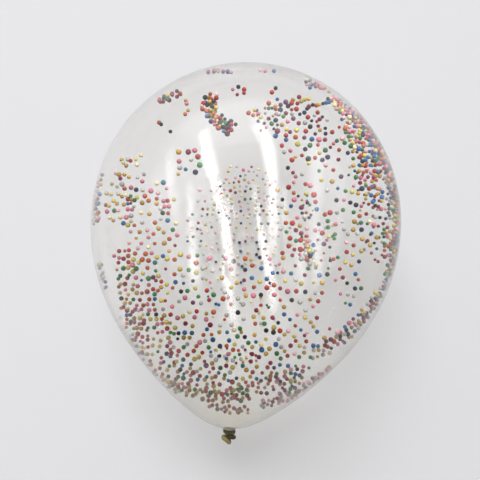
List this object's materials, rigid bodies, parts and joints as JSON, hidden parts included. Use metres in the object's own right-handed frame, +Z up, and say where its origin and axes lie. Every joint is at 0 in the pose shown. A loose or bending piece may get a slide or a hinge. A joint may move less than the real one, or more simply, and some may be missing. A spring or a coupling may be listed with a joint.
{
  "type": "foam-filled balloon",
  "caption": "Clear latex party balloon, blown up, tied off in its own neck and lying on its side, with small coloured foam balls clinging to the inside of its skin.",
  "frame": {"origin": "middle of the small flat spot on the balloon's side that it lies on", "axes": "+Z up; the balloon's own axis lies over Y, crown towards +Y and knot towards -Y, and dips about 16 degrees towards the knot; +X across"},
  "size_m": [0.28, 0.3427, 0.2807],
  "materials": {
    "clear_latex": "nearly clear, glossy, milky towards the neck"
  },
  "bodies": {
    "root": {"balloon": "clear_latex"}
  },
  "joints": []
}
